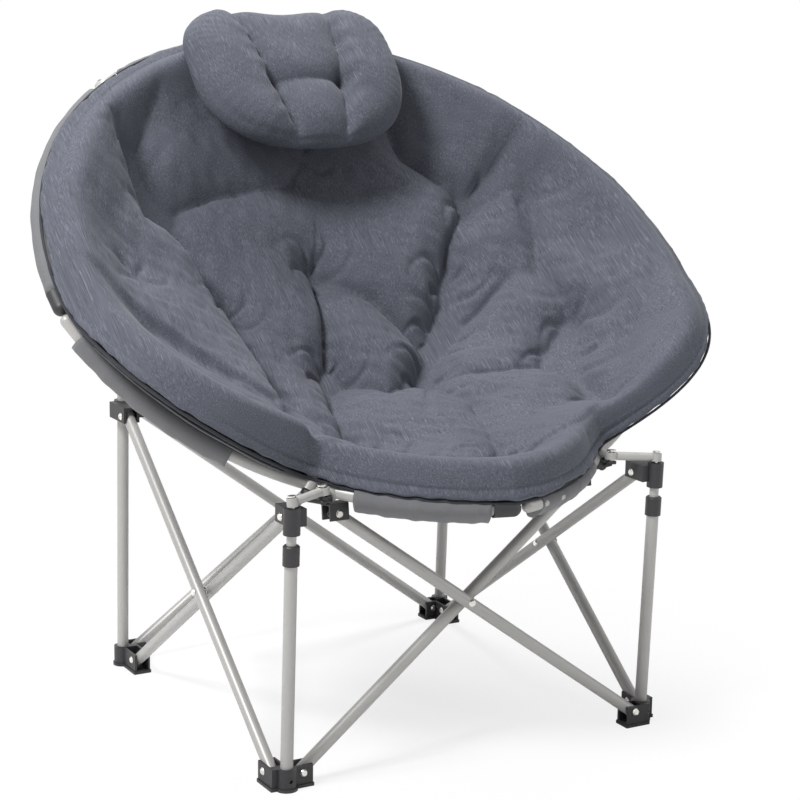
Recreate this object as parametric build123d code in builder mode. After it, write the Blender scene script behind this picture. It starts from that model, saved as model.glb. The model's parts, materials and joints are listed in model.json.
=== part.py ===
from build123d import *
import os
from math import atan2, cos, hypot, radians, sin

# Folding saucer chair, millimetres. +Z up, the sitter looks along -Y, X runs side to side.
# The origin is on the floor, midway between the front and the back of the chair.

# Driving dimensions ---------------------------------------------------------------------

# Stance and fold geometry
post_spacing = 532  # between the left and right post axes
front_post_y = -268  # front post axes at foot-pin height
post_lean = 2.2  # degrees, all posts lean forward together
foot_pin_z = 18  # height of the brace pins in the feet
brace_inset = 22  # front and back brace pins, inboard of the post axes
front_side_inset = 26  # side brace pins behind the front posts
back_side_inset = 40  # side brace pins ahead of the back posts
slide_rise = 360  # slider pins above the foot pins, along the post
front_brace_reach = 230  # front braces beyond their crossing
front_brace_recline = 7  # degrees, the front pair leans back

# Tube and rivet stock
tube_d = 16
tube_wall = 1.2
inner_tube_d = 12
hoop_d = 16
rivet_d = 5
rivet_head_d = 10
rivet_head_h = 1.8
pin_play = 0.1  # radial, between a rivet and a part that turns on it
fit_play = 0.05  # radial, between a rivet or post and the part that holds it
brace_gap = 1.0  # between two crossing braces
brace_end = 6  # tube past its end pin

# Plastic fittings
cheek = 3
cheek_play = 0.5
wing_end = 13  # cheeks past the pin
sole_h = 4
sole_lip = 1.6
foot_h = 28
socket_wall = 4.5
collar_z = 270  # underside of the front collars, along the post from the foot pins
collar_h = 25
collar_wall = 2.4
guide_play = 0.15  # collar bore around the inner post
inner_start = 30  # lower end of the inner post above the foot pins
slide_play = 0.4  # slider bore around the back post
fork_top = 17  # above the fork's brace pin
back_post_rise = 112.7  # back post tops above the hoop centre
top_arm_knee = (44, 60)  # back and up from the post top
link_d = 12
link_tab = (54, 25.3, 2)  # from the fork pivot to the corner bracket, left side
link_axis = (-0.077, 0.086, 0.993)
link_slack = 2.8  # radial, the link floats on its bracket pin while the corner swings

# Hoop: the upper half is an ellipse in a tilted plane
hoop_y = 235.5  # hoop centre behind the front post axes
hoop_rise = 255.12  # hoop centre above the front brace tops
hoop_half_width = 462.5
hoop_half_length = 484.8
hoop_tilt = 37.15
side_hinge_angle = 3  # degrees below the widest point
post_hinge_angle = 54.9  # where the back posts carry the hoop
hinge_step = 1.7  # degrees, each knuckle either side of that point
corner_x = 202
corner_y = 36
corner_rise = 30.7  # hoop axis above the front brace pins
corner_step = 14
front_hinge_y = -91.3
front_hinge_drop = 240.5  # front mid hinge below the hoop centre
side_bow = (-22, 0, -20)  # lower tube, bow of its middle on the left
front_bulge = 20
front_axis = (-0.819, -0.277, -0.503)  # fold axes of the left-hand hoop tubes
lower_axis = (0.582, 0.163, 0.796)
upper_axis = (0.195, 0.904, 0.381)
top_axis = (0.719, -0.355, 0.598)
knuckle_d = 20
knuckle_w = 17
knuckle_gap = 1.6
ear_d = 15
ear_t = 4
pivot_d = 6
sleeve_wall = 2.5
sleeve_len = 26
end_gap = 9  # from each mid hinge point to the centre of a tube's rounded end

# Soft parts
seat_depth = 172
seat_lift = 2  # cushion rim above the hoop axis
rim_inset = 13.3  # seat edge inside the hoop axis
shell_t = 4
cushion_t = 50
edge_roll_r = 24  # padded roll round the cushion's rim
edge_roll_inset = 27
edge_roll_lift = 19
tuft_r = 45  # ball that presses each tuft
tuft_sink = 17
# Tufts, across and up the slope from the hoop centre
tufts = [
    (-255, 205),
    (246, 207),
    (179, 95),
    (-10, 149),
    (-57, -37),
    (81, -66),
    (141, 17),
    (267, -102),
    (-197, -150),
    (-90, -205),
    (180, -200),
    (37, -270),
]
soft_gap = 0.4
pillow_size = (300, 150, 62)
pillow_seat = 8.35  # underside above the hoop axis
pillow_inset = 69.8  # pillow centre inside the top of the hoop axis

# Derived geometry -----------------------------------------------------------------------

lean = radians(post_lean)
half_span = post_spacing / 2 - brace_inset
half_brace = hypot(half_span, slide_rise / 2)
mean_angle = atan2(slide_rise / 2, half_span)
steep_angle = mean_angle + lean
flat_angle = mean_angle - lean
short_half = half_brace * sin(flat_angle) / sin(steep_angle)
side_span = half_brace * cos(flat_angle) + short_half * cos(steep_angle)
depth = side_span + front_side_inset + back_side_inset
back_post_y = front_post_y + depth
fork_rise = 2 * short_half * sin(mean_angle)
pair_offset = (tube_d + brace_gap) / 2
roof = hypot(tube_d / 2, brace_end) + 0.8  # clears a tube end as it swings
tube_bore = tube_d - 2 * tube_wall
wing_w = tube_d + 2 * cheek + 2 * cheek_play
slot_w = tube_d + 2 * cheek_play
slot_start = tube_d / 2 + 3
grip = wing_w + 2 * fit_play

X = Vector(1, 0, 0)
Y = Vector(0, 1, 0)
Z = Vector(0, 0, 1)
post_dir = Vector(0, -sin(lean), cos(lean))
back_axis = Vector(0, cos(lean), sin(lean))
recline = radians(front_brace_recline)
front_up = Vector(0, sin(recline), cos(recline))
front_pin_axis = Vector(0, cos(recline), -sin(recline))
tilt = radians(hoop_tilt)
front_top_rise = (half_brace + front_brace_reach) * sin(mean_angle)
front_top_x = front_brace_reach * cos(mean_angle)
hoop_z = foot_pin_z + front_up.Z * front_top_rise + hoop_rise
back_post_top = hoop_z + back_post_rise
hoop_centre = Vector(0, front_post_y + hoop_y, hoop_z)
hoop_up = Vector(0, cos(tilt), sin(tilt))
hoop_normal = Vector(0, -sin(tilt), cos(tilt))


def hand(side, vector):
    """A point or direction given for the left side, mirrored for the right."""
    x, y, z = vector
    return Vector(x if side == "left" else -x, y, z)


def hand_axis(side, vector):
    """A turning axis given for the left side; the mirror image turns the other way."""
    x, y, z = vector
    return Vector(x, y, z) if side == "left" else Vector(x, -y, -z)


def post_point(side, y, rise):
    """Point on a post axis, a given distance up the post from foot-pin height."""
    return hand(side, (-post_spacing / 2, y, foot_pin_z)) + post_dir * rise


def hoop_point(degrees_up):
    """Point on the left half of the hoop ellipse, counted from the widest point."""
    turn = radians(degrees_up)
    across = X * (-hoop_half_width * cos(turn))
    return hoop_centre + across + hoop_up * (hoop_half_length * sin(turn))


# Construction helpers -------------------------------------------------------------------


def rod(start, end, radius, mode=Mode.ADD):
    """Round bar between two points."""
    run = end - start
    with Locations(Plane(origin=(start + end) * 0.5, z_dir=run)):
        Cylinder(radius, run.length, mode=mode)


def disc(centre, axis, radius, height, mode=Mode.ADD):
    """Round disc centred on a point."""
    with Locations(Plane(origin=centre, z_dir=axis)):
        Cylinder(radius, height, mode=mode)


def ball(centre, radius, mode=Mode.ADD):
    with Locations(centre):
        Sphere(radius, mode=mode)


def tube(start, end, outer, bore, pins=()):
    """Straight tube from start to end, drilled across at each (point, axis) in pins."""
    run = end - start
    with BuildPart() as straight:
        with BuildSketch(Plane(origin=start, z_dir=run)):
            Circle(outer / 2)
            Circle(bore / 2, mode=Mode.SUBTRACT)
        extrude(amount=run.length)
        for point, axis in pins:
            disc(point, axis, rivet_d / 2 + pin_play, 2 * outer, Mode.SUBTRACT)
    return straight.part


def rivets(pins):
    """Rivets with domed heads, one for each (centre, axis, grip)."""
    with BuildPart() as group:
        for centre, axis, length in pins:
            disc(centre, axis, rivet_d / 2, length)
            for way in (-1, 1):
                seat = centre + axis * (way * length / 2)
                with BuildSketch(Plane(origin=seat, z_dir=axis * way)):
                    Circle(rivet_head_d / 2)
                extrude(amount=rivet_head_h, taper=40)
    return group.part


def save(name, part):
    part.label = name
    export_step(part, f"parts/{name}.step")


# Corner feet ----------------------------------------------------------------------------


def wings(side, end):
    """Run, brace offset, pin axis and pin inset for the cross and the side brace."""
    inward = X if side == "left" else -X
    outward = -inward
    cross_axis = front_pin_axis if end == "front" else back_axis
    # The left-hand foot brace is the rear one of each crossed pair.
    rear = 1 if side == "left" else -1
    if end == "front":
        return (
            (inward, cross_axis * (rear * pair_offset), cross_axis, brace_inset),
            (Y, outward * pair_offset, X, front_side_inset),
        )
    return (
        (inward, cross_axis * (rear * pair_offset), cross_axis, brace_inset),
        (-Y, inward * pair_offset, X, back_side_inset),
    )


def foot(side, end):
    """Corner foot: a socket for the post and a slotted wing for each brace."""
    y = front_post_y if end == "front" else back_post_y
    base = hand(side, (-post_spacing / 2, y, 0))
    with BuildPart() as body:
        with BuildSketch(Plane.XY) as outline:
            with Locations((base.X, base.Y)):
                Circle(tube_d / 2 + socket_wall)
            for run, sideways, _, inset in wings(side, end):
                middle = base + run * ((inset + wing_end) / 2) + sideways
                size = (inset + wing_end, wing_w)
                if abs(run.Y) > 0.5:
                    size = (wing_w, inset + wing_end)
                with Locations((middle.X, middle.Y)):
                    Rectangle(*size)
        extrude(amount=foot_h)
        with BuildSketch(Plane.XY):
            offset(outline.sketch, amount=sole_lip)
        extrude(amount=sole_h)
        for run, sideways, axis, inset in wings(side, end):
            start = base + Z * foot_pin_z + sideways
            length = inset + wing_end - slot_start + 6
            middle = start + run * (slot_start + length / 2)
            up = axis.cross(run) if axis.cross(run).Z > 0 else run.cross(axis)
            floor = middle + up * (sole_h + 1 - foot_pin_z)
            with BuildSketch(Plane(origin=floor, x_dir=run, z_dir=up)):
                Rectangle(length, slot_w)
            extrude(amount=2 * foot_h, mode=Mode.SUBTRACT)
            pin = start + run * inset
            disc(pin, axis, rivet_d / 2 + fit_play, 2 * wing_w, Mode.SUBTRACT)
            for way in (-1, 1):
                head = pin + axis * (way * (wing_w / 2 + 3))
                disc(head, axis, rivet_head_d / 2 + 0.4, 6, Mode.SUBTRACT)
        low = post_point(side, y, sole_h + 1 - foot_pin_z)
        rod(low, low + post_dir * 2 * foot_h, tube_d / 2 + fit_play, Mode.SUBTRACT)
        fixing = post_point(side, y, -4)
        disc(fixing, Y, rivet_d / 2 + fit_play, 3 * tube_d, Mode.SUBTRACT)
    return body.part


def foot_rivets(side, end):
    """The two brace pins; a back post also carries the two hoop pins at its top."""
    y = front_post_y if end == "front" else back_post_y
    base = hand(side, (-post_spacing / 2, y, foot_pin_z))
    pins = [
        (base + run * inset + sideways, axis, grip + (rivet_head_d + 2) * abs(axis.Z))
        for run, sideways, axis, inset in wings(side, end)
    ]
    with BuildPart() as group:
        add(rivets(pins))
        if end == "back":
            pivot_bolt(side, top_pivot, top_axis, -1)
            pivot_bolt(side, upper_pivot, upper_axis, 1)
    return group.part


# Fittings that ride on the posts --------------------------------------------------------


def arms(side, end, origin, only_side=False):
    """Inverted channels, roof above and open below, for the braces of the other feet."""
    runs = wings(side, end)[1:] if only_side else wings(side, end)
    for run, sideways, axis, inset in runs:
        up = axis.cross(run) if axis.cross(run).dot(post_dir) > 0 else run.cross(axis)
        middle = origin - sideways + run * ((inset + wing_end) / 2)
        with BuildSketch(Plane(origin=middle - up * 8, x_dir=run, z_dir=up)) as block:
            Rectangle(inset + wing_end, wing_w)
        extrude(block.sketch, amount=8 + roof + cheek)
    for run, sideways, axis, inset in runs:
        up = axis.cross(run) if axis.cross(run).dot(post_dir) > 0 else run.cross(axis)
        length = inset + wing_end - slot_start + 6
        middle = origin - sideways + run * (slot_start + length / 2)
        with BuildSketch(Plane(origin=middle - up * 12, x_dir=run, z_dir=up)) as slot:
            Rectangle(length, slot_w)
        extrude(slot.sketch, amount=12 + roof, mode=Mode.SUBTRACT)
        pin = origin - sideways + run * inset
        disc(pin, axis, rivet_d / 2 + fit_play, 2 * wing_w, Mode.SUBTRACT)


def slider(side):
    """Sleeve on the back post that carries the tops of two braces."""
    origin = post_point(side, back_post_y, slide_rise)
    with BuildPart() as body:
        rod(origin - post_dir * 8, origin + post_dir * 14.5, tube_d / 2 + socket_wall)
        arms(side, "back", origin)
        bore = tube_d / 2 + slide_play
        rod(origin - post_dir * 40, origin + post_dir * 40, bore, Mode.SUBTRACT)
    return body.part


def slider_rivets(side):
    origin = post_point(side, back_post_y, slide_rise)
    pins = [
        (origin + run * inset - sideways, axis, grip)
        for run, sideways, axis, inset in wings(side, "back")
    ]
    return rivets(pins)


fork_pin_rise = fork_rise
link_rise = fork_rise + fork_top + 1 + link_d / 2


def fork(side):
    """Head of the inner post: carries the side brace and, on top, the link."""
    origin = post_point(side, front_post_y, fork_rise)
    pivot = post_point(side, front_post_y, link_rise)
    axis = hand_axis(side, link_axis)
    with BuildPart() as body:
        rod(origin - post_dir * 16, origin + post_dir * fork_top, tube_d / 2 + 2.5)
        arms(side, "front", origin, only_side=True)
        reach = inner_tube_d / 2 + fit_play
        rod(origin - post_dir * 30, origin + post_dir * 10, reach, Mode.SUBTRACT)
        disc(pivot, axis, rivet_d / 2 + fit_play, 2 * link_d + 4, Mode.SUBTRACT)
    return body.part


def fork_rivets(side):
    """Brace pin and the pin the link turns on."""
    run, sideways, axis, inset = wings(side, "front")[1]
    origin = post_point(side, front_post_y, fork_rise)
    pivot = post_point(side, front_post_y, link_rise)
    up = hand_axis(side, link_axis)
    up = up if up.Z > 0 else -up
    with BuildPart() as group:
        add(rivets([(origin + run * inset - sideways, axis, grip)]))
        rod(pivot - up * (link_d / 2 + 6), pivot + up * (link_d / 2 + 0.5), rivet_d / 2)
        disc(pivot + up * (link_d / 2 + 1.3), up, rivet_head_d / 2, rivet_head_h)
    return group.part


def link(side):
    """Short bar with an eye at each end, from the fork to the corner bracket."""
    start = post_point(side, front_post_y, link_rise)
    end = start + hand(side, link_tab)
    axis = hand_axis(side, link_axis)
    with BuildPart() as body:
        along = (end - start).normalized()
        rod(start + along * 5, end - along * 7, link_d / 2 - 0.5)
        disc(start, axis, link_d / 2 + 1, link_d - 1.5)
        disc(end, axis, link_d / 2 + 2.5, link_d - 3)
        disc(start, axis, rivet_d / 2 + pin_play, 2 * link_d, Mode.SUBTRACT)
        disc(end, axis, rivet_d / 2 + link_slack, 2 * link_d, Mode.SUBTRACT)
    return body.part


def collar(side):
    """Guide collar on top of the outer post, stepped down to the inner post."""
    low = post_point(side, front_post_y, collar_z)
    top = low + post_dir * collar_h
    outer_end = post_point(side, front_post_y, collar_z + collar_h - 8)
    with BuildPart() as body:
        rod(low, top, tube_d / 2 + collar_wall)
        chamfer(body.faces().sort_by(Axis.Z)[-1].edges(), 1.5)
        rod(low - post_dir, outer_end, tube_d / 2 + fit_play, Mode.SUBTRACT)
        rod(low, top + post_dir, inner_tube_d / 2 + guide_play, Mode.SUBTRACT)
    return body.part


def outer_post(side):
    start = post_point(side, front_post_y, sole_h + 1.5 - foot_pin_z)
    end = post_point(side, front_post_y, collar_z + collar_h - 8.2)
    return tube(start, end, tube_d, tube_bore)


def inner_post(side):
    start = post_point(side, front_post_y, inner_start)
    end = post_point(side, front_post_y, fork_rise + 9.5)
    return tube(start, end, inner_tube_d, inner_tube_d - 2 * tube_wall)


def back_post(side):
    start = post_point(side, back_post_y, sole_h + 1.5 - foot_pin_z)
    end = post_point(side, back_post_y, back_post_top - foot_pin_z)
    return tube(start, end, tube_d, tube_bore)


# Braces ---------------------------------------------------------------------------------


def brace(side, end, axis, sideways, run, inset, rise_dir, lower, upper, angle):
    """Tube between its foot pin and its upper pin, drilled at both and at the crossing."""
    y = front_post_y if end == "front" else back_post_y
    pin = hand(side, (-post_spacing / 2, y, foot_pin_z)) + run * inset + sideways
    way = run * cos(angle) + rise_dir * sin(angle)
    middle = pin + way * lower
    top = middle + way * upper
    pins = ((pin, axis), (middle, axis), (top, axis))
    body = tube(pin - way * brace_end, top + way * brace_end, tube_d, tube_bore, pins)
    return body, middle, top


def cross_brace(side, end):
    run, sideways, axis, inset = wings(side, end)[0]
    rise = front_up if end == "front" else post_dir
    upper = front_brace_reach if end == "front" else half_brace
    angle = mean_angle
    return brace(side, end, axis, sideways, run, inset, rise, half_brace, upper, angle)


def side_brace(side, end):
    run, sideways, axis, inset = wings(side, end)[1]
    if end == "front":
        halves = (short_half, half_brace, steep_angle)
    else:
        halves = (half_brace, short_half, flat_angle)
    return brace(side, end, axis, sideways, run, inset, Z, *halves)


def crossing_rivet(first, second, axis):
    """Long rivet through two crossing tubes with a thin washer between them."""
    centre = (first + second) * 0.5
    length = 2 * tube_d + brace_gap + 2 * fit_play
    with BuildPart() as group:
        add(rivets([(centre, axis, length)]))
        disc(centre, axis, rivet_d / 2 + 2.5, brace_gap - 2 * fit_play)
    return group.part


# Hoop -----------------------------------------------------------------------------------

front_hinge = Vector(0, front_post_y + front_hinge_y, hoop_z - front_hinge_drop)
side_hinge = hoop_point(-side_hinge_angle)
top_hinge = hoop_point(90)
corner_pin = Vector(-front_top_x, front_post_y, foot_pin_z) + front_up * front_top_rise
corner = Vector(-corner_x, front_post_y + corner_y, corner_pin.Z + corner_rise)
front_way = (front_hinge - corner + Vector(0, -front_bulge, 0)).normalized()
lower_way = (side_hinge - corner + Vector(*side_bow) * 1.5).normalized()
front_pivot = corner + front_way * corner_step
lower_pivot = corner + lower_way * corner_step
top_pivot = hoop_point(post_hinge_angle + hinge_step)
upper_pivot = hoop_point(post_hinge_angle - hinge_step)


def hoop_tube(side, pivot, axis, path):
    """Curved tube with a knuckle at its pivot and a rounded free end."""
    centre = hand(side, pivot)
    pin = hand_axis(side, axis)
    with BuildPart() as body:
        with BuildLine() as line:
            add(path)
        with BuildSketch(Plane(origin=line.line @ 0, z_dir=line.line % 0)):
            Circle(hoop_d / 2)
        sweep()
        ball(line.line @ 1, hoop_d / 2)
        disc(centre, pin, knuckle_d / 2, knuckle_w)
        disc(centre, pin, pivot_d / 2 + pin_play, knuckle_w + 4, Mode.SUBTRACT)
    return body.part


def bowed(side, start, end, bow):
    """Arc from start to end that passes through its midpoint moved by bow."""
    middle = (start + end) * 0.5 + bow
    return ThreePointArc(hand(side, start), hand(side, middle), hand(side, end))


def ellipse_arc(side, low, high):
    """Stretch of the hoop ellipse between two angles, as seen on the left."""
    steps = [low + (high - low) * i / 4 for i in range(5)]
    return Spline(*[hand(side, hoop_point(step)) for step in steps])


end_step_side = end_gap / hoop_half_width * 57.3
hoop_paths = {}
for side in ("left", "right"):
    away = -1 if side == "left" else 1
    near_front = front_hinge + X * -(6 if side == "left" else 16)
    hoop_paths["front", side] = bowed(side, front_pivot, near_front, Vector(-4, -front_bulge, -4))
    near_side = side_hinge - hoop_up * 13
    hoop_paths["lower", side] = bowed(side, lower_pivot, near_side, Vector(*side_bow))
    stop = -side_hinge_angle + end_step_side
    hoop_paths["upper", side] = ellipse_arc(side, post_hinge_angle - hinge_step, stop)
    stop = 90 - (8 if side == "left" else 20.5) / hoop_half_width * 57.3
    hoop_paths["top", side] = ellipse_arc(side, post_hinge_angle + hinge_step, stop)

hoop_pivots = {
    "front": (front_pivot, front_axis),
    "lower": (lower_pivot, lower_axis),
    "upper": (upper_pivot, upper_axis),
    "top": (top_pivot, top_axis),
}


def end_sleeve(path):
    """Hinge half: a close sleeve with a domed nose over the rounded tube end."""
    nose = path @ 1
    way = (path % 1).normalized()
    outer = hoop_d / 2 + sleeve_wall
    with BuildPart() as body:
        rod(nose - way * sleeve_len, nose, outer)
        ball(nose, outer)
        with BuildLine() as line:
            add(path)
        with BuildSketch(Plane(origin=line.line @ 0, z_dir=line.line % 0)):
            Circle(hoop_d / 2 + fit_play)
        sweep(mode=Mode.SUBTRACT)
        with Locations(nose):
            Sphere(hoop_d / 2 + fit_play, mode=Mode.SUBTRACT)
    return body.part


def ear(side, pivot, axis, way):
    """Outer face centre of the single ear beside a knuckle, way along its axis."""
    pin = hand(side, axis) * way
    return hand(side, pivot) + pin * (knuckle_w / 2 + knuckle_gap + ear_t / 2), pin


def pivot_bolt(side, pivot, axis, way):
    """Flush pin through a knuckle and its ear."""
    pin = hand(side, axis) * way
    centre = hand(side, pivot)
    outer = centre + pin * (knuckle_w / 2 + knuckle_gap + ear_t)
    rod(centre - pin * (knuckle_w / 2), outer, pivot_d / 2)


def corner_bracket(side):
    """Carries the top of a front brace, the link and two hoop knuckles."""
    pin = hand(side, corner_pin)
    # The left-hand bracket holds the brace from the right foot, the forward one of the pair.
    across = front_pin_axis * (-pair_offset if side == "left" else pair_offset)
    inward = X if side == "left" else -X
    front_ear, front_out = ear(side, front_pivot, front_axis, 1)
    lower_ear, lower_out = ear(side, lower_pivot, lower_axis, -1)
    low = front_ear + front_out * 6
    far = lower_ear + lower_out * 6
    tab = post_point(side, front_post_y, link_rise) + hand(side, link_tab)
    up = hand_axis(side, link_axis)
    up = up if up.Z > 0 else -up
    tab_low = tab - up * (link_d / 2 + 2.5)
    web = pin + across + front_up * (roof + 1.5) - inward * (wing_end - 4)
    with BuildPart() as body:
        frame = Plane(origin=pin + across - front_up * 8, x_dir=inward, z_dir=front_up)
        with BuildSketch(frame):
            Rectangle(2 * wing_end, wing_w)
        extrude(amount=8 + roof + cheek)
        disc(front_ear, front_out, ear_d / 2, ear_t)
        disc(lower_ear, lower_out, ear_d / 2, ear_t)
        rod(front_ear, low, 6)
        rod(lower_ear, far, 6)
        rod(low, far, 5)
        ball(low, 6)
        ball(far, 6)
        rod(low, web, 3)
        rod(low, tab_low - up * 1.5, 3.5)
        disc(tab_low, up, link_d / 2 + 1, 4)
        with BuildSketch(Plane(origin=pin + across - front_up * 20, x_dir=inward, z_dir=front_up)):
            Rectangle(6 * wing_end, slot_w)
        extrude(amount=20 + roof, mode=Mode.SUBTRACT)
        disc(front_ear, front_out, pivot_d / 2 + fit_play, 2 * ear_t, Mode.SUBTRACT)
        disc(lower_ear, lower_out, pivot_d / 2 + fit_play, 2 * ear_t, Mode.SUBTRACT)
        disc(tab_low, up, rivet_d / 2 + fit_play, 8, Mode.SUBTRACT)
        disc(pin + across, front_pin_axis, rivet_d / 2 + fit_play, 2 * wing_w, Mode.SUBTRACT)
    return body.part


def corner_rivets(side):
    pin = hand(side, corner_pin)
    across = front_pin_axis * (-pair_offset if side == "left" else pair_offset)
    tab = post_point(side, front_post_y, link_rise) + hand(side, link_tab)
    up = hand_axis(side, link_axis)
    up = up if up.Z > 0 else -up
    with BuildPart() as group:
        add(rivets([(pin + across, front_pin_axis, grip)]))
        rod(tab - up * (link_d / 2 + 4.4), tab + up * (link_d / 2 + 0.5), rivet_d / 2)
        disc(tab + up * (link_d / 2 + 1.3), up, rivet_head_d / 2 + 1, rivet_head_h)
        pivot_bolt(side, front_pivot, front_axis, 1)
        pivot_bolt(side, lower_pivot, lower_axis, -1)
    return group.part


def top_bracket(side):
    """Elbow from the back post up to the hoop, with an ear for each knuckle."""
    post_end = post_point(side, back_post_y, back_post_top - foot_pin_z)
    knee = post_end + Y * top_arm_knee[0] + Z * top_arm_knee[1]
    top_ear, top_out = ear(side, top_pivot, top_axis, -1)
    upper_ear, upper_out = ear(side, upper_pivot, upper_axis, 1)
    with BuildPart() as body:
        rod(post_end - post_dir * 30, post_end + post_dir * 4, tube_d / 2 + socket_wall - 1)
        rod(post_end - post_dir * 6, knee, 7)
        ball(knee, 7)
        for face, out in ((top_ear, top_out), (upper_ear, upper_out)):
            disc(face, out, ear_d / 2, ear_t)
            outer = face + out * 9
            rod(face, outer, 4.5)
            ball(outer, 4.5)
            rod(outer, knee, 4.5)
        for face, out in ((top_ear, top_out), (upper_ear, upper_out)):
            disc(face, out, pivot_d / 2 + fit_play, 2 * ear_t, Mode.SUBTRACT)
        low = post_end - post_dir * 31
        rod(low, post_end + post_dir * 0.2, tube_d / 2 + fit_play, Mode.SUBTRACT)
    return body.part


# Soft parts -----------------------------------------------------------------------------

# Seat outline at the rim, right half from back to front, in the hoop plane
rim_half = [
    (0, hoop_half_length - rim_inset),
    (0.5 * (hoop_half_width - rim_inset), 0.866 * (hoop_half_length - rim_inset)),
    (0.866 * (hoop_half_width - rim_inset), 0.5 * (hoop_half_length - rim_inset)),
    (hoop_half_width - rim_inset, 0),
    (0.88 * hoop_half_width, -110),
    (0.66 * hoop_half_width, -215),
    (corner_x + 5, -300),
    (0.23 * hoop_half_width, -366),
    (0, -388),
]


rim_outline = rim_half + [(-x, y) for x, y in reversed(rim_half[1:-1])]
bowl_steps = ((1.0, 0), (0.765, -0.42), (0.53, -0.75), (0.22, -1))  # share out, level down


def bowl(inset, lift, drop):
    """Solid bowl under the rim outline, drawn in by inset and seat_depth less lift deep."""
    with BuildPart() as solid:
        for scale, level in bowl_steps:
            height = drop + level * (seat_depth - lift)
            frame = Plane(
                origin=hoop_centre + hoop_normal * height, x_dir=(1, 0, 0), z_dir=hoop_normal
            )
            points = [shrunk(point, scale, inset) for point in rim_outline]
            with BuildSketch(frame):
                with BuildLine():
                    Spline(*points, periodic=True)
                make_face()
        loft()
    return solid.part


def shrunk(point, scale, inset):
    """Outline point scaled about the hoop centre, then drawn in by inset."""
    x, y = point
    reach = hypot(x, y)
    factor = (scale * reach - inset) / reach
    return (x * factor, y * factor)


def seat_shell():
    with BuildPart() as shell:
        add(bowl(0, 0, seat_lift))
        add(bowl(shell_t, shell_t, seat_lift + 0.01), mode=Mode.SUBTRACT)
    return shell.part


def edge_roll(radius):
    with BuildPart() as roll:
        edge = [shrunk(point, 1, edge_roll_inset) for point in rim_outline]
        path = Spline(*[hoop_plane_point(x, y, edge_roll_lift) for x, y in edge], periodic=True)
        with BuildSketch(Plane(origin=path @ 0, z_dir=path % 0)):
            Circle(radius)
        sweep(path=path)
    return roll.part


def seat_cushion():
    with BuildPart() as cushion:
        add(bowl(shell_t + soft_gap, shell_t + soft_gap, seat_lift))
        add(bowl(cushion_t, cushion_t, seat_lift + 0.01), mode=Mode.SUBTRACT)
        add(edge_roll(edge_roll_r))
        for x, y in tufts:
            ball(pad_point(x, y, tuft_r - tuft_sink), tuft_r, Mode.SUBTRACT)
    return cushion.part


def hoop_plane_point(x, y, rise):
    return hoop_centre + X * x + hoop_up * y + hoop_normal * rise


def rim_reach(x, y):
    """Distance from the hoop centre to the rim outline, towards a point."""
    way = atan2(abs(x), y)
    for (x1, y1), (x2, y2) in zip(rim_half, rim_half[1:]):
        before, after = atan2(x1, y1), atan2(x2, y2)
        if before <= way <= after:
            part_way = (way - before) / (after - before)
            return hypot(x1, y1) * (1 - part_way) + hypot(x2, y2) * part_way


def pad_point(x, y, rise):
    """Point above the cushion's inner face, measured square to the hoop plane."""
    share = hypot(x, y) / (rim_reach(x, y) - cushion_t)
    drop = 0
    for (outer, level), (inner, deeper) in zip(bowl_steps, bowl_steps[1:]):
        if inner <= share <= outer:
            drop = level + (deeper - level) * (outer - share) / (outer - inner)
    if share < bowl_steps[-1][0]:
        drop = bowl_steps[-1][1]
    return hoop_plane_point(x, y, drop * (seat_depth - cushion_t) + rise)


def head_pillow():
    height = pillow_seat + pillow_size[2] / 2
    origin = hoop_centre + hoop_up * (hoop_half_length - pillow_inset) + hoop_normal * height
    with BuildPart() as pillow:
        with Locations(Plane(origin=origin, x_dir=(1, 0, 0), z_dir=hoop_normal)):
            Box(*pillow_size)
        fillet(pillow.edges(), pillow_size[2] * 0.36)
        add(edge_roll(edge_roll_r + soft_gap), mode=Mode.SUBTRACT)
    return pillow.part


# Build and export -----------------------------------------------------------------------

os.makedirs("parts", exist_ok=True)

for side in ("left", "right"):
    for end in ("front", "back"):
        save(f"{end}_{side}_foot", foot(side, end))
        save(f"{end}_{side}_rivets", foot_rivets(side, end))
    save(f"{side}_outer_post", outer_post(side))
    save(f"{side}_inner_post", inner_post(side))
    save(f"{side}_collar", collar(side))
    save(f"{side}_fork", fork(side))
    save(f"{side}_fork_rivets", fork_rivets(side))
    save(f"{side}_link", link(side))
    save(f"{side}_back_post", back_post(side))
    save(f"{side}_slider", slider(side))
    save(f"{side}_slider_rivets", slider_rivets(side))
    save(f"{side}_corner_bracket", corner_bracket(side))
    save(f"{side}_corner_rivets", corner_rivets(side))
    save(f"{side}_top_bracket", top_bracket(side))
    for place, (pivot, axis) in hoop_pivots.items():
        path = hoop_paths[place, side]
        save(f"{place}_{side}_hoop", hoop_tube(side, pivot, axis, path))
    front_tube, front_cross, _ = side_brace(side, "front")
    back_tube, back_cross, _ = side_brace(side, "back")
    save(f"{side}_slider_brace", front_tube)
    save(f"{side}_fork_brace", back_tube)
    save(f"{side}_side_rivet", crossing_rivet(front_cross, back_cross, X))

for end in ("front", "back"):
    left_tube, left_cross, _ = cross_brace("left", end)
    right_tube, right_cross, _ = cross_brace("right", end)
    save(f"{end}_left_brace", left_tube)
    save(f"{end}_right_brace", right_tube)
    axis = front_pin_axis if end == "front" else back_axis
    save(f"{end}_cross_rivet", crossing_rivet(left_cross, right_cross, axis))

save("front_hinge_sleeve", end_sleeve(hoop_paths["front", "left"]))
save("top_hinge_sleeve", end_sleeve(hoop_paths["top", "left"]))
save("left_side_hinge_sleeve", end_sleeve(hoop_paths["upper", "left"]))
save("right_side_hinge_sleeve", end_sleeve(hoop_paths["upper", "right"]))

save("seat_shell", seat_shell())
save("seat_cushion", seat_cushion())
save("head_pillow", head_pillow())
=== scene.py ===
import json
import math

import bmesh
import bpy
import numpy as np
from mathutils import Matrix, Vector


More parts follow.
